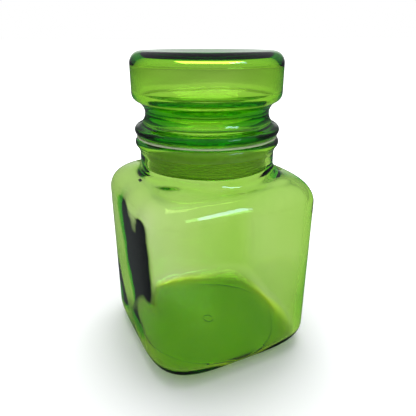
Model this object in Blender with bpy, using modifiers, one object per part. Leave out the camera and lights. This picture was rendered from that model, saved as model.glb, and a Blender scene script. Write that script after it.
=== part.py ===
"""Square glass apothecary jar with a hollow glass stopper and a ribbed plastic seal.

Metres, +Z up. The origin is the centre of the base, in the plane that the jar stands on.
The four faces look along +X, -X, +Y and -Y. Everything turned is centred on the Z axis.
"""

import math

import bpy
import numpy as np

# Square body
BODY_WIDTH = 0.100  # across two opposite faces, at their crowns
SHOULDER_HEIGHT = 0.1055  # underside plane to the outer edge of the shoulder
SIDE_SQUARENESS = 4.6  # superellipse exponent: 2 is a circle, higher is squarer
HEEL_SQUARENESS = 3.2  # of the flat that the jar stands on
EDGE_SQUARENESS = 3.8  # of the shoulder's outer edge
HEEL_RADIUS = 0.0140
SHOULDER_RADIUS = 0.0137  # smaller where a wide neck leaves less room
SHOULDER_SLOPE = math.radians(12)
WALL = 0.0030
FLOOR = 0.0065
SHOULDER_WALL = 0.0035
FOOT_WIDTH = 0.0070  # of the flat ring under the base, at the middle of a face
PUNT_DEPTH = 0.0010  # of the round hollow inside that ring

# Round neck and rolled lip
NECK_HEIGHT = 0.0197  # shoulder's outer edge to the top of the lip
NECK_RADIUS = 0.0368
NECK_WALL = 0.0034
NECK_BLEND = 0.0060  # height over which the neck flares into the shoulder
LIP_OVERHANG = 0.0023
LIP_CURVE = 0.0024  # radius of the rolled edge

# Seal: a ribbed sleeve round the plug, with a flange that lies on the lip
CLEARANCE = 0.0003
FLANGE_INSET = 0.0010  # the flange ends this far inside the edge of the lip
FLANGE_THICKNESS = 0.0010
SLEEVE_WALL = 0.0012
SLEEVE_LENGTH = 0.0160  # below the top of the lip
SLEEVE_COLLAR = 0.0033  # plain length above the ribs
RIB_DEPTH = 0.0011
RIB_PITCH = 0.0014

# Stopper: heights are above the top of the lip
STOPPER_HEIGHT = 0.0433
STOPPER_WALL = 0.0034
STOPPER_TOP_WALL = 0.0055
DRUM_OVERHANG = 0.0006  # the drum stands out this far past the bead
DRUM_TOP_CURVE = 0.0060
DRUM_FOOT_CURVE = 0.0045
DISH_DEPTH = 0.0012
WAIST_DEPTH = 0.0059  # from the bead's edge in to the waist
WAIST_HEIGHT = 0.0128
BEAD_CURVE = 0.0025
PLUG_REACH = 0.0014  # the plug goes this far below the sleeve
INNER_TOP_CURVE = 0.0045
INNER_BULGE = 0.0043  # the hollow widens this much above the plug, inside the bead

SEGMENTS = 48  # round the axis, the same on all pieces, so that their flats line up
QUARTER = 5  # flats in a quarter turn of a rounded edge

# Places that follow from the sizes above
HALF_WIDTH = BODY_WIDTH / 2
EDGE_RADIUS = min(SHOULDER_RADIUS, 1.05 * (HALF_WIDTH - NECK_RADIUS))
PUNT_RADIUS = HALF_WIDTH - HEEL_RADIUS - FOOT_WIDTH
LIP_HEIGHT = SHOULDER_HEIGHT + NECK_HEIGHT
LIP_RADIUS = NECK_RADIUS + LIP_OVERHANG
NECK_BORE = NECK_RADIUS - NECK_WALL
RIB_RADIUS = NECK_BORE - CLEARANCE
SLEEVE_RADIUS = RIB_RADIUS - RIB_DEPTH
SLEEVE_BORE = SLEEVE_RADIUS - SLEEVE_WALL
FLANGE_RADIUS = LIP_RADIUS - FLANGE_INSET
FLANGE_BASE = CLEARANCE
FLANGE_TOP = FLANGE_BASE + FLANGE_THICKNESS
BEAD_BASE = FLANGE_TOP + CLEARANCE
BEAD_RADIUS = LIP_RADIUS
WAIST_RADIUS = BEAD_RADIUS - WAIST_DEPTH
DRUM_RADIUS = BEAD_RADIUS + DRUM_OVERHANG
PLUG_RADIUS = SLEEVE_BORE - CLEARANCE
PLUG_BORE = PLUG_RADIUS - STOPPER_WALL
PLUG_LENGTH = SLEEVE_LENGTH + PLUG_REACH

GLASS_GREEN = (0.33, 0.60, 0.11, 1.0)
STOPPER_GREEN = (0.20, 0.47, 0.06, 1.0)
SEAL_TAN = (0.62, 0.60, 0.36, 1.0)


def principled(name, colour, roughness, transmission):
    """A Principled material with one colour."""
    material = bpy.data.materials.new(name)
    material.use_nodes = True
    shader = material.node_tree.nodes["Principled BSDF"]
    shader.inputs["Base Color"].default_value = colour
    shader.inputs["Roughness"].default_value = roughness
    shader.inputs["Metallic"].default_value = 0.0
    shader.inputs["Transmission Weight"].default_value = transmission
    material.diffuse_color = colour
    return material


def arc(centre, radius, start, end, steps):
    """Points (r, z) of an arc about centre, from one angle to another, in degrees from +r."""
    angles = np.radians(np.linspace(start, end, steps + 1))
    return [(centre[0] + radius * math.cos(a), centre[1] + radius * math.sin(a)) for a in angles]


def ease(start, end, steps):
    """Points after start up to end: z runs evenly and r follows half a cosine wave."""
    points = []
    for t in np.linspace(0, 1, steps + 1)[1:]:
        share = (1 - math.cos(math.pi * t)) / 2
        points.append((start[0] + (end[0] - start[0]) * share, start[1] + (end[1] - start[1]) * t))
    return points


def heading(start, end):
    """Direction from one (r, z) point to another, in degrees from +r."""
    return math.degrees(math.atan2(end[1] - start[1], end[0] - start[0]))


# The jar's surface is a stack of rows. A row is (radius, height) at every polar angle.
ANGLES = np.linspace(0, 2 * math.pi, SEGMENTS, endpoint=False)


def superellipse(half_width, squareness):
    """Radius at each polar angle of a square with bowed sides and rounded corners."""
    across = np.abs(np.cos(ANGLES)) ** squareness + np.abs(np.sin(ANGLES)) ** squareness
    return half_width / across ** (1 / squareness)


def circle_row(radius, height):
    return np.full(SEGMENTS, radius), np.full(SEGMENTS, height)


def edge_rows(half_width, curve, flat_height, rise, flat_squareness):
    """Rows round a horizontal edge, from the flat to the upright side.

    rise is 1 where the side is above the flat, -1 where it is below. The section eases from
    flat_squareness to the squareness of the sides.
    """
    rows = []
    for t in np.linspace(0, math.pi / 2, QUARTER + 1):
        share = 1 - math.sin(t)
        squareness = SIDE_SQUARENESS + (flat_squareness - SIDE_SQUARENESS) * share
        height = flat_height + rise * curve * (1 - math.cos(t))
        rows.append((superellipse(half_width - curve * share, squareness), np.full(SEGMENTS, height)))
    return rows


def flare_rows(edge, neck_radius, neck_height):
    """Rows from the shoulder's edge up into the neck.

    At each polar angle the surface is a quadratic curve: it leaves the edge on the shoulder's
    slope and arrives upright at the neck.
    """
    radius, height = edge
    corner_height = height + (radius - neck_radius) * math.tan(SHOULDER_SLOPE)
    rows = []
    for t in np.linspace(0, 1, QUARTER + 1)[1:]:
        start, middle, end = (1 - t) ** 2, 2 * t * (1 - t), t**2
        row_radius = start * radius + (middle + end) * neck_radius
        row_height = start * height + middle * corner_height + end * neck_height
        rows.append((row_radius, row_height))
    return rows


def outer_rows():
    """From the punt under the base, round the heel and up to the neck."""
    rows = [circle_row(PUNT_RADIUS - PUNT_DEPTH, PUNT_DEPTH), circle_row(PUNT_RADIUS, 0)]
    rows += edge_rows(HALF_WIDTH, HEEL_RADIUS, 0, 1, HEEL_SQUARENESS)
    shoulder = edge_rows(HALF_WIDTH, EDGE_RADIUS, SHOULDER_HEIGHT, -1, EDGE_SQUARENESS)
    # The flattest row would meet the slope at a crease, so the edge stops one row short of it.
    rows += shoulder[:0:-1]
    return rows + flare_rows(shoulder[1], NECK_RADIUS, SHOULDER_HEIGHT + NECK_BLEND)


def lip_rows():
    """The rolled lip: an arc from under the bead over the top and into the bore."""
    roll = (LIP_RADIUS - LIP_CURVE, LIP_HEIGHT - LIP_CURVE)
    inner = LIP_CURVE / 2
    under = [(NECK_RADIUS, roll[1] - 2 * LIP_CURVE)]
    bead = arc(roll, LIP_CURVE, -60, 90, 5)
    mouth = arc((NECK_BORE + inner, LIP_HEIGHT - inner), inner, 90, 180, 3)
    return [circle_row(*point) for point in under + bead + mouth]


def inner_rows():
    """From the neck's bore down the inside to the edge of the floor."""
    half = HALF_WIDTH - WALL
    top = SHOULDER_HEIGHT - SHOULDER_WALL
    shoulder = edge_rows(half, max(EDGE_RADIUS - WALL, WALL), top, -1, EDGE_SQUARENESS)
    rows = flare_rows(shoulder[1], NECK_BORE, top + NECK_BLEND)[::-1]
    rows += shoulder[1:]
    heel = edge_rows(half, HEEL_RADIUS - WALL, FLOOR, 1, HEEL_SQUARENESS)
    return rows + heel[::-1]


def loft(name, rows, first_pole, last_pole):
    """One closed mesh: a fan from each pole, and quads between neighbouring rows."""
    radius = np.array([row[0] for row in rows])
    height = np.array([row[1] for row in rows])
    ring_points = np.stack([radius * np.cos(ANGLES), radius * np.sin(ANGLES), height], axis=-1)
    points = np.concatenate([ring_points.reshape(-1, 3), [(0, 0, first_pole), (0, 0, last_pole)]])
    first, last = len(points) - 2, len(points) - 1
    faces = []
    for here in range(SEGMENTS):
        beyond = (here + 1) % SEGMENTS
        faces.append((first, beyond, here))
        for row in range(len(rows) - 1):
            low, high = row * SEGMENTS, (row + 1) * SEGMENTS
            faces.append((low + here, low + beyond, high + beyond, high + here))
        top = (len(rows) - 1) * SEGMENTS
        faces.append((last, top + here, top + beyond))
    mesh = bpy.data.meshes.new(name)
    mesh.from_pydata(points.tolist(), [], faces)
    mesh.shade_smooth()
    mesh.set_sharp_from_angle(angle=math.radians(40))
    return bpy.data.objects.new(name, mesh)


def turned(name, profile, closed):
    """A profile at +X, turned round the Z axis."""
    mesh = bpy.data.meshes.new(name)
    edges = [(i, i + 1) for i in range(len(profile) - 1)]
    if closed:
        edges.append((len(profile) - 1, 0))
    mesh.from_pydata([(r, 0, z) for r, z in profile], edges, [])
    piece = bpy.data.objects.new(name, mesh)
    screw = piece.modifiers.new("turn", "SCREW")
    screw.axis = "Z"
    screw.angle = 2 * math.pi
    screw.steps = SEGMENTS
    screw.render_steps = SEGMENTS
    screw.use_merge_vertices = True
    screw.merge_threshold = 0.00001
    screw.use_smooth_shade = True
    return piece


def jar_body():
    """Square body, sloping shoulder, round neck and rolled lip, with its hollow."""
    rows = outer_rows() + lip_rows() + inner_rows()
    return loft("jar_body", rows, PUNT_DEPTH, FLOOR)


def stopper_seal():
    """Ribbed sleeve with a flange. It is a closed ring, so its profile never meets the axis."""
    profile = [(SLEEVE_BORE, FLANGE_TOP), (FLANGE_RADIUS, FLANGE_TOP), (FLANGE_RADIUS, FLANGE_BASE)]
    profile.append((SLEEVE_RADIUS, FLANGE_BASE))
    rib_count = int((SLEEVE_LENGTH - SLEEVE_COLLAR) / RIB_PITCH)
    for rib in range(rib_count, 0, -1):
        tip = rib * RIB_PITCH - SLEEVE_LENGTH
        profile.append((SLEEVE_RADIUS, tip + RIB_PITCH / 3))
        profile.append((RIB_RADIUS, tip))
    profile.append((SLEEVE_RADIUS, RIB_PITCH / 3 - SLEEVE_LENGTH))
    profile.append((SLEEVE_RADIUS, -SLEEVE_LENGTH))
    profile.append((SLEEVE_BORE, -SLEEVE_LENGTH))
    return turned("stopper_seal", profile, closed=True)


def stopper_outside():
    """From the middle of the top, down the drum, the waist and the bead to the plug's rim.

    The waist is one arc that touches the bead's arc. The arc at the drum's foot touches the waist.
    """
    rim_radius = DRUM_RADIUS - DRUM_TOP_CURVE
    profile = [(0, STOPPER_HEIGHT - DISH_DEPTH)]
    for share in (0.35, 0.7):
        drop = DISH_DEPTH * (1 + math.cos(math.pi * share)) / 2
        profile.append((rim_radius * share, STOPPER_HEIGHT - drop))
    profile += arc((rim_radius, STOPPER_HEIGHT - DRUM_TOP_CURVE), DRUM_TOP_CURVE, 90, 0, QUARTER)

    bead = (BEAD_RADIUS - BEAD_CURVE, BEAD_BASE + BEAD_CURVE)
    reach, rise = WAIST_RADIUS - bead[0], WAIST_HEIGHT - bead[1]
    waist_curve = (reach**2 + rise**2 - BEAD_CURVE**2) / (2 * (BEAD_CURVE - reach))
    waist = (WAIST_RADIUS + waist_curve, WAIST_HEIGHT)
    foot_radius = DRUM_RADIUS - DRUM_FOOT_CURVE
    foot_rise = math.sqrt((waist_curve + DRUM_FOOT_CURVE) ** 2 - (waist[0] - foot_radius) ** 2)
    foot = (foot_radius, WAIST_HEIGHT + foot_rise)

    profile += arc(foot, DRUM_FOOT_CURVE, 0, heading(foot, waist), 3)
    profile += arc(waist, waist_curve, heading(waist, foot), heading(waist, bead) + 360, 6)[1:]
    profile += arc(bead, BEAD_CURVE, heading(bead, waist), -90, 6)[1:]
    profile.append((PLUG_RADIUS, BEAD_BASE))
    rim_curve = STOPPER_WALL / 2
    rim = (PLUG_RADIUS - rim_curve, rim_curve - PLUG_LENGTH)
    return profile + arc(rim, rim_curve, 0, -180, 4)


def stopper_inside():
    """From the plug's bore up past the bead and the waist to the middle of the drum's ceiling."""
    ceiling = STOPPER_HEIGHT - STOPPER_TOP_WALL
    drum_bore = DRUM_RADIUS - STOPPER_WALL
    waist_bore = WAIST_RADIUS - STOPPER_WALL
    plug_top = (PLUG_BORE, 0)
    bulge = (PLUG_BORE + INNER_BULGE, BEAD_BASE + BEAD_CURVE + FLANGE_THICKNESS)
    waist = (waist_bore, WAIST_HEIGHT)
    drum_foot = (drum_bore, 2 * WAIST_HEIGHT - BEAD_BASE)
    profile = [plug_top] + ease(plug_top, bulge, 3) + ease(bulge, waist, 3) + ease(waist, drum_foot, 4)
    corner = (drum_bore - INNER_TOP_CURVE, ceiling - INNER_TOP_CURVE)
    return profile + arc(corner, INNER_TOP_CURVE, 0, 90, 4) + [(0, ceiling)]


def stopper():
    """Hollow glass stopper, closed at the top and open at the foot of its plug."""
    return turned("stopper", stopper_outside() + stopper_inside(), closed=False)


def seat_empty(collection):
    """Marks the top of the lip, on the axis along which the stopper lifts and turns."""
    seat = bpy.data.objects.new("lip_seat", None)
    seat.empty_display_size = 0.02
    seat.location = (0, 0, LIP_HEIGHT)
    collection.objects.link(seat)
    return seat


def clear_scene():
    for old in list(bpy.data.objects):
        bpy.data.objects.remove(old, do_unlink=True)


def main():
    clear_scene()
    collection = bpy.data.collections.new("apothecary_jar")
    bpy.context.scene.collection.children.link(collection)
    seat = seat_empty(collection)

    body = jar_body()
    body.data.materials.append(principled("jar_glass", GLASS_GREEN, 0.03, 1.0))
    seal = stopper_seal()
    seal.data.materials.append(principled("seal_plastic", SEAL_TAN, 0.45, 0.3))
    plug = stopper()
    plug.data.materials.append(principled("stopper_glass", STOPPER_GREEN, 0.03, 1.0))

    for piece in (body, seal, plug):
        collection.objects.link(piece)
    seal.parent = seat
    plug.parent = seat


if __name__ == "__main__":
    main()
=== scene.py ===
"""Looks of a square green apothecary jar with a hollow stopper and a ribbed seal.

Metres, +Z up, in the frame of the CAD model: the jar stands on z = 0, centred on the Z axis.
Every surface is worked out on a grid of rows and columns. A column is a polar angle round Z, and
a row is a closed line round the piece, given as arrays of radius and height.
"""

import math

import bpy
import numpy as np
from bpy.props import FloatProperty, FloatVectorProperty, PointerProperty
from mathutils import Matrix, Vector


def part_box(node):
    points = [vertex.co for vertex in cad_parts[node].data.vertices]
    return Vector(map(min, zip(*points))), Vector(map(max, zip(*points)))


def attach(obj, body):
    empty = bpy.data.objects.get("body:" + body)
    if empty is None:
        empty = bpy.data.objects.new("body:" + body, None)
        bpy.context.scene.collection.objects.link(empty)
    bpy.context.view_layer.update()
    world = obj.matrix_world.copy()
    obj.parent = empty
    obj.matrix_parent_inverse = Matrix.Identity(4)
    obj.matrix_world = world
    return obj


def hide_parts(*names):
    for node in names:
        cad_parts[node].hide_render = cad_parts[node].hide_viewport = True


bl_info = {
    "name": "Square Apothecary Jar",
    "version": (1, 0, 0),
    "blender": (4, 5, 0),
    "location": "3D View > Sidebar > Jar",
    "description": "A square green glass jar with a hollow glass stopper and a ribbed seal",
    "category": "Add Mesh",
}

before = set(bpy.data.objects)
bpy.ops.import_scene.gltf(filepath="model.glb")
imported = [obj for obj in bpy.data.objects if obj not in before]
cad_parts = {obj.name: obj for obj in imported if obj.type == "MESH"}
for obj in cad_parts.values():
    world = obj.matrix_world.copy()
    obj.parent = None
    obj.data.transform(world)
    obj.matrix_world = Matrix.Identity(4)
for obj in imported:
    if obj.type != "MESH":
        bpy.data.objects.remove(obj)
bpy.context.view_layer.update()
JAR_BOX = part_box("jar_body")
STOPPER_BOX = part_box("stopper")
SEAL_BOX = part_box("stopper_seal")

MM = 0.001

# How finely the surfaces are divided
JAR_COLUMNS = 480
ROUND_COLUMNS = 256
FACE_ROWS = 12
EDGE_ROWS = 18
FLARE_STEPS = 12
LIP_ROWS = 27
INNER_FLARE_STEPS = 10
INNER_SLOPE_ROWS = 6
INNER_EDGE_ROWS = 14
INNER_FACE_ROWS = 22
INNER_HEEL_ROWS = 16
STOPPER_INSIDE_ROWS = 150
STOPPER_OUTSIDE_ROWS = 210
CROWN_ROWS = 20
SEAL_ROWS = 260
SEAL_CORNER_STEPS = 4
RIB_STEPS = 10

# Shape of the jar. A squareness is the n of rounded_square: 2 is a circle, and more is squarer.
SHOULDER_SLOPE = math.radians(12)
SIDE_SQUARENESS = 4.6
HEEL_SQUARENESS = 3.2
EDGE_SQUARENESS = 3.8
INNER_SQUARENESS = 4.7
LEFT_SQUARENESS = 6.2
REAR_SQUARENESS = 3.9
LOW_SQUARENESS = 4.5
SQUARE_EASE = (0.036, 0.066)  # heights over which the inside goes from lower to upper squareness
LEFT_SIDE = math.radians(185)
LEFT_SPREAD = 1.6
LEFT_TURN = math.radians(-1.8)
REAR_CORNER = math.radians(45)
FLOOR_CREASE = math.radians(35)

# Underside and inner floor of the jar: the radii, shares of a radius, or turns of the rows
HOLLOW_RADII = np.array([0.8, 1.6, 2.4, 2.8, 3.2, 3.6, 4.0, 4.6, 8, 13, 18, 23, 27])[:, None] * MM
HEEL_TURNS = np.radians(np.append(np.linspace(0, 28, 16), np.linspace(28, 90, 13)[1:]))[:, None]
RING_SHARES = np.array([0, 0.2, 0.35, 0.5, 0.6, 0.67, 0.73, 0.79, 0.85, 0.91, 0.96])[:, None]
FLOOR_SHARES = np.array([0.94, 0.84, 0.73, 0.62, 0.51, 0.40, 0.29, 0.18, 0.08])[:, None]
MARK_RADIUS = 3.2 * MM
MARK_WIDTH = 0.45 * MM
MARK_DEPTH = 0.25 * MM
STIPPLE_DOTS = 160
STIPPLE_RING = 0.0420
DOT_WIDTH = 0.6 * MM

# Unevenness: shares of the ripple, and the distances over which it fades
OUTSIDE_RIPPLE = 0.1
FLOOR_RIPPLE = 0.6
STOPPER_OUTSIDE_RIPPLE = 0.05
HEEL_START = 2 * MM
HEEL_FADE = 20 * MM
NECK_FADE = 12 * MM
FLOOR_FADE = 3 * MM
MIDDLE_FADE = 20 * MM

# Stopper and seal
MIDDLE = 0.02  # radius of the row next to the axis, as a share of the piece's
BULGE_RISE = 1 * MM  # from the bead's middle up to the widest place of the hollow behind it
SEAL_ROUNDING = 0.25 * MM
RIB_POWER = 0.8


def length(name, description, default):
    """A size in metres."""
    return FloatProperty(
        name=name, description=description, default=default, min=0.0, unit="LENGTH", precision=4
    )


def tint(name, description, default):
    """A linear colour."""
    return FloatVectorProperty(
        name=name, description=description, default=default, size=3, min=0.0, max=1.0, subtype="COLOR"
    )


def number(name, description, default):
    """A plain number without a unit."""
    return FloatProperty(name=name, description=description, default=default, min=0.0)


class JarSizes(bpy.types.PropertyGroup):
    """Sizes of the square glass jar."""

    width: length("Width", "Across two opposite faces", JAR_BOX[1].x - JAR_BOX[0].x)
    lip_height: length("Lip Height", "Base to the top of the lip", JAR_BOX[1].z - JAR_BOX[0].z)
    shoulder_height: length("Shoulder Height", "Base to the edge of the shoulder", 0.1055)
    heel_radius: length("Heel Radius", "Curve between the base and the faces", 0.0140)
    shoulder_radius: length("Shoulder Radius", "Curve between the faces and the shoulder", 0.0137)
    wall: length("Wall", "Thickness of the faces", 0.0030)
    floor: length("Floor", "Thickness of the base", 0.0052)
    shoulder_wall: length("Shoulder Wall", "Thickness of the shoulder", 0.0035)
    floor_radius: length("Floor Radius", "Radius of the flat floor inside", 0.0450)
    inner_heel: length("Inner Heel", "Height over which the floor curves up into the faces", 0.0065)
    foot_width: length("Foot Width", "Width of the ring that the jar stands on", 0.0070)
    punt_depth: length("Punt Depth", "Depth of the hollow inside the ring", 0.0010)
    stipple: length("Stipple", "Height of the dots on the ring", 0.0005)
    neck_radius: length("Neck Radius", "Outside of the neck", 0.0368)
    neck_wall: length("Neck Wall", "Thickness of the neck", 0.0034)
    neck_blend: length("Neck Blend", "Height of the flare from the shoulder to the neck", 0.0060)
    inner_flare: length("Inner Flare", "Curve between the bore and the inside of the shoulder", 0.0052)
    lip_overhang: length("Lip Overhang", "How far the lip stands out past the neck", 0.0023)
    lip_curve: length("Lip Curve", "Radius of the rolled lip", 0.0024)
    ripple: length("Ripple", "Unevenness of the inside of the glass", 0.00030)


class SealSizes(bpy.types.PropertyGroup):
    """Sizes of the ribbed seal."""

    wall: length("Wall", "Thickness of the sleeve between the ribs", 0.0012)
    collar: length("Collar", "Plain length above the ribs", 0.0070)
    rib_depth: length("Rib Depth", "How far a rib stands out", 0.0011)
    rib_pitch: length("Rib Pitch", "Distance between two ribs", 0.0014)
    flange: length("Flange", "Thickness of the flange", 0.0010)
    bore: length("Bore", "Radius of the hole for the plug", 0.0308)


class StopperSizes(bpy.types.PropertyGroup):
    """Sizes of the hollow stopper."""

    wall: length("Wall", "Thickness of the sides", 0.0034)
    top_wall: length("Top Wall", "Thickness of the top", 0.0040)
    top_curve: length("Top Curve", "Radius of the drum's top edge", 0.0060)
    foot_curve: length("Foot Curve", "Radius of the drum's foot", 0.0045)
    dish: length("Dish", "Depth of the hollow in the top", 0.0012)
    bead_radius: length("Bead Radius", "Outside of the bead above the lip", 0.0391)
    bead_curve: length("Bead Curve", "Radius of the bead's edge", 0.0025)
    bead_base: length("Bead Base", "Lip to the underside of the bead", 0.0016)
    waist_radius: length("Waist Radius", "Outside of the waist", 0.0332)
    waist_height: length("Waist Height", "Lip to the waist", 0.0128)
    waist_wall: length("Waist Wall", "Thickness of the waist", 0.0085)
    plug_radius: length("Plug Radius", "Outside of the plug", 0.0305)
    inner_curve: length("Inner Curve", "Radius at the top of the hollow", 0.0032)
    bulge: length("Bulge", "How far the hollow widens behind the bead", 0.0043)
    ripple: length("Ripple", "Unevenness of the inside of the glass", 0.00012)


class Finish(bpy.types.PropertyGroup):
    """Colours and finishes."""

    jar_tint: tint("Jar Tint", "Colour that the jar's glass lets through", (0.67, 0.92, 0.04))
    jar_depth: number("Jar Depth", "How strongly the jar's glass takes up light, per metre", 255.0)
    stopper_tint: tint("Stopper Tint", "Colour that its glass lets through", (0.66, 0.91, 0.02))
    stopper_depth: number("Stopper Depth", "How strongly the stopper takes up light, per metre", 355.0)
    seal_colour: tint("Seal Colour", "Colour of the seal's plastic", (0.68, 0.86, 0.04))


class StageSettings(bpy.types.PropertyGroup):
    """Floor, lights and camera."""

    floor_colour: tint("Floor Colour", "Colour of the floor", (0.86, 0.86, 0.86))
    camera_distance: length("Camera Distance", "Camera to the jar's axis, level", 0.2259)
    camera_height: length("Camera Height", "Camera above the floor", 0.1741)
    window_power: number("Window Power", "Watts of the window light", 2.6)
    top_power: number("Top Power", "Watts of the overhead softbox", 18.5)


# Profiles: arrays of (radius, height)


def arc(centre, radius, start, end, steps=24):
    """centre + radius * (cos a, sin a), with a running evenly from start to end in degrees."""
    angle = np.radians(np.linspace(start, end, steps + 1))
    return np.stack([centre[0] + radius * np.cos(angle), centre[1] + radius * np.sin(angle)], axis=-1)


def ease(start, end, steps=24):
    """From start to end: z runs evenly and r follows half a cosine wave."""
    share = np.linspace(0, 1, steps + 1)
    radius = start[0] + (end[0] - start[0]) * ((1 - np.cos(math.pi * share)) / 2)
    return np.stack([radius, start[1] + (end[1] - start[1]) * share], axis=-1)


def heading(start, end):
    """Direction from one (r, z) point to another, in degrees from +r."""
    return math.degrees(math.atan2(end[1] - start[1], end[0] - start[0]))


def even(parts, rows):
    """The parts joined end to end, with that many points at equal distances along them."""
    line = np.concatenate([np.atleast_2d(part) for part in parts])
    keep = np.append(True, np.linalg.norm(np.diff(line, axis=0), axis=1) > 1e-9)
    line = line[keep]
    along = np.append(0, np.cumsum(np.linalg.norm(np.diff(line, axis=0), axis=1)))
    places = np.linspace(0, along[-1], rows)
    return np.stack([np.interp(places, along, line[:, axis]) for axis in (0, 1)], axis=-1)


def share_of(distance, whole):
    """distance / whole, held between 0 and 1."""
    return np.clip(distance / whole, 0, 1)


def uneven(angle, height, seed, turns=9, spread=(0.010, 0.060), waves=14):
    """Soft unevenness between about -1 and 1.

    The mean of sines of (turns * angle + height / wavelength + phase), with whole turns so that
    the last column meets the first, and with seeded wavelengths and phases.
    """
    draw = np.random.default_rng(seed)
    total = np.zeros(np.broadcast(angle, height).shape)
    for _ in range(waves):
        round_z = draw.integers(1, turns + 1) * draw.choice([-1, 1])
        up = draw.uniform(-1, 1) * 2 * math.pi / draw.uniform(*spread)
        total += np.sin(round_z * angle + up * height + draw.uniform(0, 2 * math.pi))
    return total * math.sqrt(2 / waves) / 2


# Meshes


def shell(name, radius, height, poles):
    """One closed mesh from rows of radius and height, one column for each polar angle.

    x = radius * cos(angle), y = radius * sin(angle), z = height. Neighbouring rows are joined by
    quads. poles gives the heights on the axis that close the first and last row; without poles,
    the last row joins the first.
    """
    rows, columns = radius.shape
    angle = np.linspace(0, 2 * math.pi, columns, endpoint=False)
    points = np.stack([radius * np.cos(angle), radius * np.sin(angle), height], axis=-1).reshape(-1, 3)
    here = np.arange(columns)
    beyond = np.roll(here, -1)
    low = np.arange(rows if poles is None else rows - 1)[:, None] * columns
    high = (low + columns) % (rows * columns)
    quads = np.stack([low + here, low + beyond, high + beyond, high + here], axis=-1).reshape(-1, 4)
    corners, counts = [quads.ravel()], [np.full(len(quads), 4)]
    if poles is not None:
        points = np.concatenate([points, [(0, 0, poles[0]), (0, 0, poles[1])]])
        first, last = len(points) - 2, len(points) - 1
        top = (rows - 1) * columns
        corners.append(np.stack([np.full(columns, first), beyond, here], axis=-1).ravel())
        corners.append(np.stack([np.full(columns, last), top + here, top + beyond], axis=-1).ravel())
        counts += [np.full(columns, 3), np.full(columns, 3)]
    corners, counts = np.concatenate(corners), np.concatenate(counts)
    mesh = bpy.data.meshes.new(name)
    mesh.vertices.add(len(points))
    mesh.vertices.foreach_set("co", points.astype(np.float32).ravel())
    mesh.loops.add(len(corners))
    mesh.loops.foreach_set("vertex_index", corners.astype(np.int32))
    mesh.polygons.add(len(counts))
    mesh.polygons.foreach_set("loop_start", np.append(0, np.cumsum(counts)[:-1]).astype(np.int32))
    mesh.update(calc_edges=True)
    if mesh.validate():
        raise RuntimeError(f"{name} had faces that Blender can't use")
    mesh.shade_smooth()
    piece = bpy.data.objects.new(name, mesh)
    bpy.context.scene.collection.objects.link(piece)
    return piece


def angles(columns):
    """One row of evenly spaced polar angles."""
    return np.linspace(0, 2 * math.pi, columns, endpoint=False)[None, :]


def rounded_square(half_width, squareness, angle):
    """half_width / (|cos angle|^n + |sin angle|^n)^(1/n), with n the squareness."""
    across = np.abs(np.cos(angle)) ** squareness + np.abs(np.sin(angle)) ** squareness
    return half_width / across ** (1 / squareness)


def left_share(angle):
    """1 round the left side, falling to 0 in front and behind.

    min(1, spread * cos(angle - left side)), where a cosine below 0 counts as 0.
    """
    return np.clip(LEFT_SPREAD * np.cos(angle - LEFT_SIDE), 0, 1)


def inner_squareness(angle):
    """Squareness n of the inside, greater round the left side and smaller towards the rear corner.

    n + (left - n) * left_share + (rear - n) * cos(angle - rear corner)^2, where a cosine below 0
    counts as 0.
    """
    left = left_share(angle) * (LEFT_SQUARENESS - INNER_SQUARENESS)
    rear = np.clip(np.cos(angle - REAR_CORNER), 0, 1) ** 2 * (REAR_SQUARENESS - INNER_SQUARENESS)
    return INNER_SQUARENESS + left + rear


def edge_band(half_width, curve, turn, flat_squareness, angle, side_squareness=SIDE_SQUARENESS):
    """Quarter-round edge between a flat and an upright face.

    At turn t, from 0 on the flat to 90 degrees on the face, the rounded square's half width is
    half_width - curve * (1 - sin t) and the band is curve * (1 - cos t) from the flat. Its
    squareness eases from the flat's to the faces'. Returns radius and distance from the flat.
    """
    share = 1 - np.sin(turn)
    squareness = side_squareness + (flat_squareness - side_squareness) * share
    radius = rounded_square(half_width - curve * share, squareness, angle)
    return radius, curve * (1 - np.cos(turn)) + 0 * angle


def flare_band(radius, height, neck_radius, neck_height, steps):
    """Shoulder to neck: a quadratic curve at each angle.

    It leaves (radius, height) on the shoulder's slope and arrives upright at the neck:
    (1-t)^2 * start + 2t(1-t) * corner + t^2 * end, with the corner straight under the neck.
    """
    corner = height + (radius - neck_radius) * math.tan(SHOULDER_SLOPE)
    t = np.linspace(0, 1, steps + 1)[1:, None]
    start, middle, end = (1 - t) ** 2, 2 * t * (1 - t), t**2
    flare = start * radius + (middle + end) * neck_radius
    return flare, start * height + middle * corner + end * neck_height


def base_rows(s, angle):
    """The underside: hollow, stippled ring and heel, as lists of radius and height bands.

    The hollow is stipple + (depth - stipple) * cos(90 degrees * radius / ring's start)^2 high,
    less a round mould mark, mark depth * exp(-((radius - mark radius) / mark width)^2). The
    ring and the heel's lower part are raised by the stipple, less the dots, which reach down to
    z = 0. The heel is a quarter-round edge_band, and nothing goes below z = 0.
    """
    half = s.width / 2
    ring_start = half - s.heel_radius - s.foot_width
    mark = MARK_DEPTH * np.exp(-(((HOLLOW_RADII - MARK_RADIUS) / MARK_WIDTH) ** 2))
    radius = [HOLLOW_RADII + 0 * angle]
    dome = (s.punt_depth - s.stipple) * np.cos(math.pi / 2 * HOLLOW_RADII / ring_start) ** 2
    height = [s.stipple + dome - mark + 0 * angle]
    heel_start = rounded_square(half - s.heel_radius, HEEL_SQUARENESS, angle)
    flat = ring_start + (heel_start - ring_start) * RING_SHARES
    radius.append(flat)
    height.append(s.stipple * (1 - stipple_dots(flat, angle)))
    heel, rise = edge_band(half, s.heel_radius, HEEL_TURNS, HEEL_SQUARENESS, angle)
    radius.append(heel)
    lifted = rise + s.stipple * (1 - np.sin(HEEL_TURNS) - stipple_dots(heel, angle))
    height.append(np.maximum(lifted, 0))
    return radius, height


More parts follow.
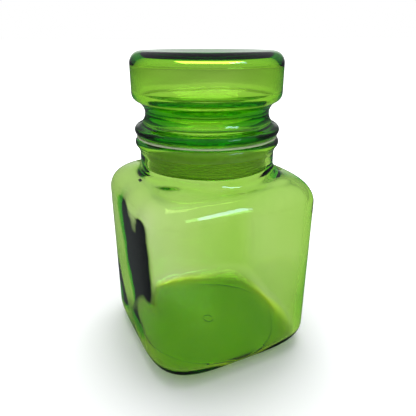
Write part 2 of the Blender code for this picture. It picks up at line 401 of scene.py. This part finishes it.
def stipple_dots(radius, angle):
    """1 on each dot of the ring and 0 between them.

    exp(-((radius - ring) / dot width)^2) * (1 + cos(number of dots * angle)) / 2.
    """
    near = np.exp(-(((radius - STIPPLE_RING) / DOT_WIDTH) ** 2))
    return near * (0.5 + 0.5 * np.cos(STIPPLE_DOTS * angle))


def outside_rows(s, angle):
    """The faces, the shoulder and its flare into the neck.

    The faces are upright rounded squares, the shoulder is an edge_band that stops at its slope,
    and flare_band takes it into the neck.
    """
    half = s.width / 2
    low, high = s.heel_radius, s.shoulder_height - s.shoulder_radius
    height = np.linspace(low, high, FACE_ROWS)[1:-1, None] + 0 * angle
    radius = [rounded_square(half, SIDE_SQUARENESS, angle) + 0 * height]
    heights = [height]
    turn = np.linspace(math.pi / 2, SHOULDER_SLOPE, EDGE_ROWS)[:, None]
    edge, drop = edge_band(half, s.shoulder_radius, turn, EDGE_SQUARENESS, angle)
    radius.append(edge)
    heights.append(s.shoulder_height - drop)
    neck = s.shoulder_height + s.neck_blend
    flare, rise = flare_band(radius[-1][-1], heights[-1][-1], s.neck_radius, neck, FLARE_STEPS)
    return radius + [flare], heights + [rise]


def lip_rows(s, angle):
    """The neck and the rolled lip, over the top and into the bore: arcs that touch, turned round Z."""
    roll = (s.neck_radius + s.lip_overhang - s.lip_curve, s.lip_height - s.lip_curve)
    inner = s.lip_curve / 2
    bore = s.neck_radius - s.neck_wall
    over = (bore + inner, s.lip_height - inner)
    under = (s.neck_radius, roll[1] - 2 * s.lip_curve)
    start = (s.neck_radius, s.shoulder_height + s.neck_blend)
    parts = [start, under, arc(roll, s.lip_curve, -60, 90), arc(over, inner, 90, 180)]
    profile = even(parts, LIP_ROWS)[1:]
    return [profile[:, :1] + 0 * angle], [profile[:, 1:] + 0 * angle]


def inside_rows(s, angle):
    """From the bore down the inside of the shoulder, the faces and the heel to the floor.

    The shoulder is a flare_band, a straight slope and an edge_band. On the left the section is
    turned about Z by left turn * left_share. Down the faces the turn fades and the squareness
    eases, as share^2 * (3 - 2 * share), to the lower one. At turn t, from 90 degrees on the face
    to the crease c, the heel is (sin t - sin c) / (1 - sin c) of the way from the flat floor's
    edge to the face, and 1 - cos t / cos c of its height up.
    """
    half = s.width / 2 - s.wall
    top = s.shoulder_height - s.shoulder_wall
    curve = s.shoulder_radius - s.wall
    bore = s.neck_radius - s.neck_wall
    turn = np.linspace(SHOULDER_SLOPE, math.pi / 2, INNER_EDGE_ROWS)[:, None]
    upper = inner_squareness(angle)
    turned = angle - LEFT_TURN * left_share(angle)
    edge, drop = edge_band(half, curve, turn, upper, turned, upper)
    share = np.linspace(0, 1, INNER_SLOPE_ROWS)[:-1, None]
    slope = edge[0] + (bore + s.inner_flare - edge[0]) * (1 - share)
    under = top - drop[0] + (edge[0] - slope) * math.tan(SHOULDER_SLOPE)
    flare, rise = flare_band(slope[0], under[0], bore, top + s.inner_flare, INNER_FLARE_STEPS)
    radius, height = [flare[::-1], slope, edge], [rise[::-1], under, top - drop]
    low, high = s.floor + s.inner_heel, top - curve
    face = np.linspace(high, low, INNER_FACE_ROWS)[1:-1, None] + 0 * angle
    share = share_of(face - SQUARE_EASE[0], SQUARE_EASE[1] - SQUARE_EASE[0])
    lower = np.minimum(upper, LOW_SQUARENESS)
    squareness = lower + (upper - lower) * share**2 * (3 - 2 * share)
    radius.append(rounded_square(half, squareness, angle + (turned - angle) * share))
    height.append(face)
    turn = np.linspace(math.pi / 2, FLOOR_CREASE, INNER_HEEL_ROWS)[:, None]
    across = (np.sin(turn) - math.sin(FLOOR_CREASE)) / (1 - math.sin(FLOOR_CREASE))
    up = 1 - np.cos(turn) / math.cos(FLOOR_CREASE)
    radius.append(s.floor_radius + (radius[-1][-1] - s.floor_radius) * across)
    height.append(s.floor + s.inner_heel * up + 0 * angle)
    radius.append(FLOOR_SHARES * s.floor_radius + 0 * angle)
    height.append(s.floor + 0 * FLOOR_SHARES + 0 * angle)
    return radius, height


def jar_rows(s):
    """Radius and height of every row of the jar, with its unevenness.

    The inside is pushed in or out by ripple * uneven(angle, height), fading out up the neck and
    towards the middle. The floor goes up or down by its share of ripple * uneven(angle, radius),
    fading out up the heel and towards the middle. The outside is pressed in by its share of
    ripple * (1 + uneven(angle, height)), fading out down the heel and up the shoulder.
    """
    angle = angles(JAR_COLUMNS)
    base_r, base_h = base_rows(s, angle)
    out_r, out_h = outside_rows(s, angle)
    lip_r, lip_h = lip_rows(s, angle)
    in_r, in_h = inside_rows(s, angle)
    outer_r = np.concatenate(base_r + out_r + lip_r)
    outer_h = np.concatenate(base_h + out_h + lip_h)
    inner_r, inner_h = np.concatenate(in_r), np.concatenate(in_h)
    fade = share_of(outer_h - HEEL_START, HEEL_FADE) * share_of(s.shoulder_height - outer_h, NECK_FADE)
    outer_r = outer_r - OUTSIDE_RIPPLE * s.ripple * (1 + uneven(angle, outer_h, seed=11)) * fade
    fade = share_of(s.shoulder_height + s.neck_blend - inner_h, NECK_FADE)
    middle = share_of(inner_r, s.neck_radius)
    inner_r = inner_r + s.ripple * uneven(angle, inner_h, seed=23) * fade * middle
    on_floor = share_of(s.floor + FLOOR_FADE - inner_h, FLOOR_FADE)
    swell = uneven(angle, inner_r, seed=31, turns=4) * on_floor * share_of(inner_r, MIDDLE_FADE)
    inner_h = inner_h + FLOOR_RIPPLE * s.ripple * swell
    return np.concatenate([outer_r, inner_r]), np.concatenate([outer_h, inner_h])


def stopper_outside(s, lip, top):
    """Drum, waist, bead and plug: arcs that touch each other, from the plug's rim up to the top.

    Heights are from the jar's lip. The top is dished by dish * (1 + cos(180 degrees * share)) / 2,
    where share is the radius as a share of the rim's.
    """
    bead = (s.bead_radius - s.bead_curve, s.bead_base + s.bead_curve)
    reach, rise = s.waist_radius - bead[0], s.waist_height - bead[1]
    waist_curve = (reach**2 + rise**2 - s.bead_curve**2) / (2 * (s.bead_curve - reach))
    waist = (s.waist_radius + waist_curve, s.waist_height)
    drum = STOPPER_BOX[1].x
    foot_radius = drum - s.foot_curve
    foot_rise = math.sqrt((waist_curve + s.foot_curve) ** 2 - (waist[0] - foot_radius) ** 2)
    foot = (foot_radius, s.waist_height + foot_rise)
    rim_radius = drum - s.top_curve
    share = np.linspace(1, MIDDLE, CROWN_ROWS)
    crown = np.stack([rim_radius * share, top - s.dish * (1 + np.cos(math.pi * share)) / 2], axis=-1)
    plug_foot = STOPPER_BOX[0].z - lip
    rim = (s.plug_radius - s.wall / 2, plug_foot + s.wall / 2)
    return [
        arc(rim, s.wall / 2, -180, 0),
        (s.plug_radius, s.bead_base),
        arc(bead, s.bead_curve, -90, heading(bead, waist)),
        arc(waist, waist_curve, heading(waist, bead) + 360, heading(waist, foot)),
        arc(foot, s.foot_curve, heading(foot, waist), 0),
        arc((rim_radius, top - s.top_curve), s.top_curve, 0, 90),
        crown,
    ]


def stopper_inside(s, top):
    """From the middle of the hollow's ceiling down past the waist and the bead to the plug's rim.

    An arc joins the flat ceiling to the drum's bore, and ease joins the bore to the waist, the
    waist to the bulge behind the bead and the bulge to the plug. Heights are from the jar's lip.
    """
    ceiling = top - s.top_wall
    drum_bore = STOPPER_BOX[1].x - s.wall
    plug_top = (s.plug_radius - s.wall, 0)
    bulge = (plug_top[0] + s.bulge, s.bead_base + s.bead_curve + BULGE_RISE)
    waist = (s.waist_radius - s.waist_wall, s.waist_height)
    foot = (drum_bore, 2 * s.waist_height - s.bead_base)
    corner = (drum_bore - s.inner_curve, ceiling - s.inner_curve)
    return [
        (MIDDLE * drum_bore, ceiling),
        arc(corner, s.inner_curve, 90, 0),
        ease(foot, waist),
        ease(waist, bulge),
        ease(bulge, plug_top),
    ]


def stopper_rows(s):
    """Radius and height of every row of the stopper, turned round Z, with its unevenness.

    The inside is pushed in or out by ripple * uneven(angle, height), fading out towards the
    middle, and the outside is pressed in by its share of ripple * (1 + uneven(angle, height)).
    """
    angle = angles(ROUND_COLUMNS)
    lip = JAR_BOX[1].z
    top = STOPPER_BOX[1].z - lip
    inside = even(stopper_inside(s, top), STOPPER_INSIDE_ROWS)
    outside = even(stopper_outside(s, lip, top), STOPPER_OUTSIDE_ROWS)[1:]
    inner_r, inner_h = inside[:, :1] + 0 * angle, inside[:, 1:] + lip + 0 * angle
    outer_r, outer_h = outside[:, :1] + 0 * angle, outside[:, 1:] + lip + 0 * angle
    middle = share_of(inner_r, MIDDLE_FADE)
    inner_r = inner_r + s.ripple * uneven(angle, inner_h, seed=41, turns=7) * middle
    pressed = 1 + uneven(angle, outer_h, seed=43)
    outer_r = outer_r - STOPPER_OUTSIDE_RIPPLE * s.ripple * pressed * share_of(inner_r.max(), outer_r)
    return np.concatenate([inner_r, outer_r]), np.concatenate([inner_h, outer_h])


def seal_profile(s):
    """Section of the seal: ribs outside, flange at the top and a plain bore, as one closed line.

    The ribs are rounded teeth: sleeve + depth * (0.5 - 0.5 * cos(360 degrees * along))^power,
    where along counts ribs from the bottom. Every edge is rounded off by an arc.
    """
    low, high = SEAL_BOX[0].z, SEAL_BOX[1].z
    tip = JAR_BOX[1].z
    sleeve = s.bore + s.wall
    flange = SEAL_BOX[1].x
    count = int((tip - low - s.collar) / s.rib_pitch)
    along = np.linspace(0, count, count * RIB_STEPS + 1)
    teeth = s.rib_depth * (0.5 - 0.5 * np.cos(2 * math.pi * along)) ** RIB_POWER
    ribs = np.stack([sleeve + teeth, low + along * s.rib_pitch], axis=-1)
    curve, steps = SEAL_ROUNDING, SEAL_CORNER_STEPS
    edge = flange - curve
    return [
        arc((s.bore + curve, low + curve), curve, 180, 270, steps),
        ribs,
        (sleeve, high - s.flange - curve),
        arc((sleeve + curve, high - s.flange - curve), curve, 180, 90, steps),
        arc((edge, high - s.flange + curve), curve, -90, 0, steps),
        arc((edge, high - curve), curve, 0, 90, steps),
        arc((s.bore + curve, high - curve), curve, 90, 180, steps),
    ]


# Materials

GLASS_IOR = 1.52
GLASS_STREAK = (0.94, 0.98, 0.92)
GLASS_SWELL = 0.09 * MM
GLASS_CORD = 0.01 * MM
SEAL_IOR = 1.48
SEAL_CLEARNESS = 0.55
SEAL_GRAIN = 0.03 * MM
COLLAR_COLOUR = (0.86, 0.92, 0.66)
COLLAR_EDGE = 0.5 * MM


class Nodes:
    """A node tree, with short ways to add a node and join sockets."""

    def __init__(self, tree):
        self.tree = tree

    def add(self, kind, values=None, **settings):
        """A new node with those settings, and those values on its input sockets."""
        node = self.tree.nodes.new(kind)
        for key, value in settings.items():
            setattr(node, key, value)
        for key, value in (values or {}).items():
            node.inputs[key].default_value = value
        return node

    def join(self, source, target):
        """Link one socket to another."""
        self.tree.links.new(source, target)

    def mix(self, factor, first, second):
        """first where the factor is 0 and second where it is 1. Each is a colour or a socket."""
        node = self.add("ShaderNodeMix", data_type="RGBA")
        self.join(factor, node.inputs["Factor"])
        for side, value in (("A", first), ("B", second)):
            if isinstance(value, bpy.types.NodeSocket):
                self.join(value, node.inputs[side])
            else:
                node.inputs[side].default_value = (*value, 1)
        return node.outputs["Result"]

    def product(self, first, second):
        """Two number sockets multiplied."""
        node = self.add("ShaderNodeMath", operation="MULTIPLY")
        self.join(first, node.inputs[0])
        self.join(second, node.inputs[1])
        return node.outputs["Value"]

    def ramp(self, source, stops):
        """A colour ramp through stops of (position, colour)."""
        node = self.add("ShaderNodeValToRGB")
        self.join(source, node.inputs["Fac"])
        for element, (position, colour) in zip(node.color_ramp.elements, stops, strict=True):
            element.position = position
            element.color = (*colour, 1)
        return node.outputs["Color"]

    def ray_kinds(self):
        """Sockets that are 1 on a ray that was just mirrored, is from the camera, or just left glass."""
        rays = self.add("ShaderNodeLightPath").outputs
        mirrored = self.product(rays["Is Glossy Ray"], rays["Is Reflection Ray"])
        return mirrored, rays["Is Camera Ray"], rays["Is Transmission Ray"]


class MaterialNodes(Nodes):
    """The node tree of a new material that reads Object coordinates."""

    def __init__(self, name):
        self.material = bpy.data.materials.new(name)
        self.material.use_nodes = True
        super().__init__(self.material.node_tree)
        self.shader = self.tree.nodes["Principled BSDF"]
        self.output = self.tree.nodes["Material Output"]
        self.place = self.add("ShaderNodeTexCoord").outputs["Object"]

    def noise(self, scale, detail=2.0, roughness=0.5, distortion=0.0, stretch=(1, 1, 1)):
        """Noise between 0 and 1 at that many features per metre."""
        mapping = self.add("ShaderNodeMapping", {"Scale": stretch})
        self.join(self.place, mapping.inputs["Vector"])
        values = {"Scale": scale, "Detail": detail, "Roughness": roughness, "Distortion": distortion}
        node = self.add("ShaderNodeTexNoise", values)
        self.join(mapping.outputs["Vector"], node.inputs["Vector"])
        return node.outputs["Fac"]

    def spread(self, source, low, high, start=0.3, end=0.7):
        """The source's start to end, spread from low to high."""
        values = {"From Min": start, "From Max": end, "To Min": low, "To Max": high}
        node = self.add("ShaderNodeMapRange", values)
        self.join(source, node.inputs["Value"])
        return node.outputs["Result"]

    def bump(self, source, distance, below=None):
        """Raises the surface by the source, distance metres at most, on top of the bump below."""
        node = self.add("ShaderNodeBump", {"Distance": distance, "Strength": 1.0})
        self.join(source, node.inputs["Height"])
        if below is not None:
            self.join(below, node.inputs["Normal"])
        return node.outputs["Normal"]


def scaled(colour, share):
    """The colour times the share, with no channel above 1."""
    return tuple(min(1.0, channel * share) for channel in colour)


def green_glass(name, colour, depth, cords):
    """Clear green glass, tinted by its depth, with faint cords and a soft orange-peel surface.

    cords is the cords' scale up Z: below 1 they run up the piece, and above 1 they run round it.
    """
    n = MaterialNodes(name)
    shader = n.shader
    shader.inputs["IOR"].default_value = GLASS_IOR
    shader.inputs["Transmission Weight"].default_value = 1.0
    streaks = n.noise(55.0, detail=3.0, distortion=0.6, stretch=(1, 1, cords))
    n.join(n.mix(n.spread(streaks, 0, 1), (1, 1, 1), GLASS_STREAK), shader.inputs["Base Color"])
    haze = n.noise(160.0, detail=4.0, roughness=0.6)
    n.join(n.spread(haze, 0.0, 0.015), shader.inputs["Roughness"])
    swell = n.bump(n.noise(45.0, detail=1.0), GLASS_SWELL)
    strands = n.noise(150.0, detail=2.0, distortion=0.4, stretch=(1, 1, cords))
    n.join(n.bump(strands, GLASS_CORD, below=swell), shader.inputs["Normal"])
    absorb = n.add("ShaderNodeVolumeAbsorption", {"Color": (*colour, 1), "Density": depth})
    n.join(absorb.outputs["Volume"], n.output.inputs["Volume"])
    return n.material


def seal_plastic(colour, collar):
    """Soft translucent plastic: mottled, hazy and finely grained, and paler above the collar's height."""
    n = MaterialNodes("seal_plastic_soft")
    shader = n.shader
    shader.inputs["IOR"].default_value = SEAL_IOR
    shader.inputs["Transmission Weight"].default_value = SEAL_CLEARNESS
    mottle = n.noise(120.0, detail=4.0, roughness=0.6)
    split = n.add("ShaderNodeSeparateXYZ")
    n.join(n.place, split.inputs["Vector"])
    above = n.spread(split.outputs["Z"], 0, 1, collar, collar + COLLAR_EDGE)
    ribbed = n.mix(n.spread(mottle, 0, 1), scaled(colour, 0.9), scaled(colour, 1.12))
    n.join(n.mix(above, ribbed, COLLAR_COLOUR), shader.inputs["Base Color"])
    n.join(n.spread(n.noise(300.0, detail=3.0), 0.28, 0.45), shader.inputs["Roughness"])
    n.join(n.bump(n.noise(900.0, detail=3.0), SEAL_GRAIN), shader.inputs["Normal"])
    return n.material


def floor_material(colour):
    """Matt pale floor with a barely visible mottle.

    Seen through the glass it has painted light and shade: painted green light under the jar and
    painted grey shade outside it. Mirrored in the glass it is painted dark, a painted dark
    reflection. Seen straight from the camera it has a painted white glow, none near the jar and
    growing away from it.
    """
    n = MaterialNodes("pale_floor")
    shader = n.shader
    mottle = n.noise(6.0, detail=4.0)
    pale = n.mix(n.spread(mottle, 0, 1), scaled(colour, 0.99), colour)
    n.join(n.spread(n.noise(40.0), 0.75, 0.9), shader.inputs["Roughness"])
    shader.inputs["Specular IOR Level"].default_value = 0.0
    mirrored, seen, through = n.ray_kinds()
    length_of = n.add("ShaderNodeVectorMath", operation="LENGTH")
    n.join(n.place, length_of.inputs[0])
    away = length_of.outputs["Value"]
    # Painted light and shade on the floor for rays out of the glass: painted green light under the jar,
    # painted grey shade outside it
    painted_light_and_shade = n.mix(n.spread(away, 0.0, 1.0, *PAINTED_LIGHT_SHADE_EDGE), PAINTED_GREEN_LIGHT_UNDER_JAR, PAINTED_GREY_SHADE)
    n.join(n.mix(through, pale, painted_light_and_shade), shader.inputs["Base Color"])
    # Painted glow: for camera rays the floor glows white, none near the jar and more away from it
    painted_glow = n.product(n.spread(away, 0.0, FAR_PAINTED_GLOW, *PAINTED_GLOW_EDGE), seen)
    n.join(painted_glow, shader.inputs["Emission Strength"])
    shader.inputs["Emission Color"].default_value = (1, 1, 1, 1)
    # Painted dark reflection: the floor turns dark grey where the glass mirrors it
    painted_reflection = n.add("ShaderNodeBsdfDiffuse", {"Color": (*PAINTED_REFLECTION_GREY, 1)})
    either = n.add("ShaderNodeMixShader")
    n.join(mirrored, either.inputs["Fac"])
    n.join(shader.outputs["BSDF"], either.inputs[1])
    n.join(painted_reflection.outputs["BSDF"], either.inputs[2])
    n.join(either.outputs["Shader"], n.output.inputs["Surface"])
    return n.material


# Stage

CAMERA_TURN = math.radians(-26.23)
CAMERA_TILT = math.radians(67.1)
CAMERA_SENSOR = 36.0
CAMERA_LENS = 35.6
CAMERA_SHIFT = (0.0025, 0.0097)
CLIP_START = 0.01
WINDOW = {
    "place": (0.30, -0.80, 0.62),
    "target": (0, 0, 0.11),
    "size": (0.40, 0.20),
    "colour": (0.50, 0.72, 1.0),
}
OVERHEAD = {"place": (0.20, 0.34, 1.6), "target": (0, 0, 0), "size": (1.1, 1.1), "colour": (1, 1, 1)}

# Light of the surround, by the height of a ray's direction, and of the wall behind the jar
ROOM_LIGHT = ((0.0, (0.52, 0.52, 0.52)), (0.6, (0.72, 0.74, 0.76)))
MIRRORED_ROOM = ((0.0, (0.10, 0.11, 0.11)), (0.7, (0.35, 0.36, 0.38)))
MIRRORED_WALL = ((0.88, (0, 0, 0)), (0.97, (0.50, 0.55, 0.50)))

# Floor: half its width, its tiles each way, its gap under the jar, its painted white glow by distance,
# the painted green light under the jar and painted grey shade seen through the glass, and its
# painted dark reflection
FLOOR_REACH = 40
FLOOR_TILES = 8
FLOOR_GAP = 0.05 * MM
# Painted white glow of the floor for the camera, at its greatest far out, and the radii over which it
# grows
FAR_PAINTED_GLOW = 0.80
PAINTED_GLOW_EDGE = (0.055, 0.28)
# Painted green light under the jar and painted grey shade outside it, seen only through the glass, and
# the radii where one fades into the other
PAINTED_LIGHT_SHADE_EDGE = (0.046, 0.058)
PAINTED_GREY_SHADE = (0.60, 0.60, 0.60)
PAINTED_GREEN_LIGHT_UNDER_JAR = (0.98, 1.0, 0.06)
# Grey of the floor's painted dark reflection in the glass
PAINTED_REFLECTION_GREY = (0.08, 0.09, 0.09)

CLEAR_BOUNCES = 48
GLOSSY_BOUNCES = 8
TRANSPARENT_BOUNCES = 16


def world_light():
    """A white surround for the camera, and for the glass a room: bright above, darker near the floor.

    Rays that a surface has just mirrored see a dimmer room with a pale wall behind the jar.
    """
    world = bpy.data.worlds.new("studio")
    world.use_nodes = True
    n = Nodes(world.node_tree)
    place = n.add("ShaderNodeTexCoord").outputs["Generated"]
    split = n.add("ShaderNodeSeparateXYZ")
    n.join(place, split.inputs["Vector"])
    mirrored, seen, _ = n.ray_kinds()
    ahead = n.add("ShaderNodeVectorMath", operation="DOT_PRODUCT")
    ahead.inputs[1].default_value = (-math.sin(CAMERA_TURN), math.cos(CAMERA_TURN), 0)
    n.join(place, ahead.inputs[0])
    both = n.add("ShaderNodeMix", {"Factor": 1.0}, data_type="RGBA", blend_type="ADD")
    n.join(n.ramp(split.outputs["Z"], MIRRORED_ROOM), both.inputs["A"])
    n.join(n.ramp(ahead.outputs["Value"], MIRRORED_WALL), both.inputs["B"])
    room = n.mix(mirrored, n.ramp(split.outputs["Z"], ROOM_LIGHT), both.outputs["Result"])
    background = n.tree.nodes["Background"]
    n.join(n.mix(seen, room, (1, 1, 1)), background.inputs["Color"])
    bpy.context.scene.world = world


def softbox(name, power, place, target, size, colour):
    """A rectangular light at place, facing target."""
    light = bpy.data.lights.new(name, "AREA")
    light.shape = "RECTANGLE"
    light.size, light.size_y = size
    light.energy = power
    light.color = colour
    lamp = bpy.data.objects.new(name, light)
    bpy.context.scene.collection.objects.link(lamp)
    lamp.location = place
    lamp.rotation_euler = (Vector(target) - Vector(place)).to_track_quat("-Z", "Y").to_euler()
    lamp.visible_camera = False
    return lamp


def studio_floor(colour):
    """A flat square grid at z = -gap, from -reach to reach along x and y."""
    line = FLOOR_TILES + 1
    side = np.linspace(-FLOOR_REACH, FLOOR_REACH, line)
    x, y = np.meshgrid(side, side)
    points = np.stack([x, y, np.full_like(x, -FLOOR_GAP)], axis=-1).reshape(-1, 3)
    start = (np.arange(FLOOR_TILES)[:, None] * line + np.arange(FLOOR_TILES)).ravel()
    faces = np.stack([start, start + 1, start + 1 + line, start + line], axis=-1)
    mesh = bpy.data.meshes.new("floor")
    mesh.from_pydata(points.tolist(), [], faces.tolist())
    mesh.materials.append(floor_material(colour))
    floor = bpy.data.objects.new("floor", mesh)
    bpy.context.scene.collection.objects.link(floor)


def camera(s):
    """Looks down on the jar's front-left corner."""
    data = bpy.data.cameras.new("camera")
    data.sensor_width = CAMERA_SENSOR
    data.lens = CAMERA_LENS
    data.shift_x, data.shift_y = CAMERA_SHIFT
    data.clip_start = CLIP_START
    view = bpy.data.objects.new("camera", data)
    bpy.context.scene.collection.objects.link(view)
    view.location = (
        s.camera_distance * math.sin(CAMERA_TURN),
        -s.camera_distance * math.cos(CAMERA_TURN),
        s.camera_height,
    )
    view.rotation_euler = (CAMERA_TILT, 0, CAMERA_TURN)
    bpy.context.scene.camera = view


class JAR_OT_body(bpy.types.Operator):
    """Make the square glass jar"""

    bl_idname = "jar.body"
    bl_label = "Square Jar"

    def execute(self, context):
        s, finish = context.scene.jar_sizes, context.scene.jar_finish
        radius, height = jar_rows(s)
        piece = shell("square_jar", radius, height, (s.punt_depth, s.floor))
        glass = green_glass("jar_glass_green", finish.jar_tint, finish.jar_depth, cords=0.35)
        piece.data.materials.append(glass)
        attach(piece, "jar")
        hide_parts("jar_body")
        return {"FINISHED"}


class JAR_OT_seal(bpy.types.Operator):
    """Make the ribbed seal round the stopper's plug"""

    bl_idname = "jar.seal"
    bl_label = "Ribbed Seal"

    def execute(self, context):
        s, finish = context.scene.seal_sizes, context.scene.jar_finish
        profile = even(seal_profile(s), SEAL_ROWS)
        angle = angles(ROUND_COLUMNS)
        piece = shell("ribbed_seal", profile[:, :1] + 0 * angle, profile[:, 1:] + 0 * angle, None)
        piece.data.materials.append(seal_plastic(finish.seal_colour, JAR_BOX[1].z - s.collar))
        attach(piece, "seal")
        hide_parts("stopper_seal")
        return {"FINISHED"}


class JAR_OT_stopper(bpy.types.Operator):
    """Make the hollow glass stopper"""

    bl_idname = "jar.stopper"
    bl_label = "Hollow Stopper"

    def execute(self, context):
        s, finish = context.scene.stopper_sizes, context.scene.jar_finish
        radius, height = stopper_rows(s)
        top = STOPPER_BOX[1].z
        piece = shell("hollow_stopper", radius, height, (top - s.top_wall, top - s.dish))
        glass = green_glass("stopper_glass_green", finish.stopper_tint, finish.stopper_depth, cords=2.5)
        piece.data.materials.append(glass)
        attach(piece, "stopper")
        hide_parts("stopper")
        return {"FINISHED"}


class JAR_OT_stage(bpy.types.Operator):
    """Make the floor, the lights and the camera"""

    bl_idname = "jar.stage"
    bl_label = "Stage"

    def execute(self, context):
        s = context.scene.jar_stage
        studio_floor(s.floor_colour)
        world_light()
        softbox("window", s.window_power, **WINDOW).visible_diffuse = False
        softbox("overhead", s.top_power, **OVERHEAD).visible_glossy = False
        camera(s)
        scene = context.scene
        scene.view_settings.view_transform = "Standard"
        scene.cycles.max_bounces = CLEAR_BOUNCES
        scene.cycles.transmission_bounces = CLEAR_BOUNCES
        scene.cycles.glossy_bounces = GLOSSY_BOUNCES
        scene.cycles.transparent_max_bounces = TRANSPARENT_BOUNCES
        return {"FINISHED"}


class JAR_PT_panel(bpy.types.Panel):
    """Lists the jar's sizes, colours and makers"""

    bl_label = "Square Apothecary Jar"
    bl_space_type = "VIEW_3D"
    bl_region_type = "UI"
    bl_category = "Jar"

    def draw(self, context):
        for operator, group in GROUPS:
            box = self.layout.box()
            settings = getattr(context.scene, group)
            for name in settings.bl_rna.properties.keys():
                if name not in ("rna_type", "name"):
                    box.prop(settings, name)
            if operator:
                box.operator(operator)


# The makers in order, each with its settings
GROUPS = (
    ("jar.body", "jar_sizes"),
    ("jar.seal", "seal_sizes"),
    ("jar.stopper", "stopper_sizes"),
    (None, "jar_finish"),
    ("jar.stage", "jar_stage"),
)
SETTINGS = {
    "jar_sizes": JarSizes,
    "seal_sizes": SealSizes,
    "stopper_sizes": StopperSizes,
    "jar_finish": Finish,
    "jar_stage": StageSettings,
}
CLASSES = (*SETTINGS.values(), JAR_OT_body, JAR_OT_seal, JAR_OT_stopper, JAR_OT_stage, JAR_PT_panel)


def register():
    """Register the classes and put their settings on the scene."""
    for made in CLASSES:
        bpy.utils.register_class(made)
    for name, group in SETTINGS.items():
        setattr(bpy.types.Scene, name, PointerProperty(type=group))


def unregister():
    """Undo register."""
    for name in SETTINGS:
        delattr(bpy.types.Scene, name)
    for made in reversed(CLASSES):
        bpy.utils.unregister_class(made)


def main():
    """Make every piece and the stage."""
    register()
    bpy.ops.jar.body()
    bpy.ops.jar.seal()
    bpy.ops.jar.stopper()
    bpy.ops.jar.stage()


if __name__ == "__main__":
    main()
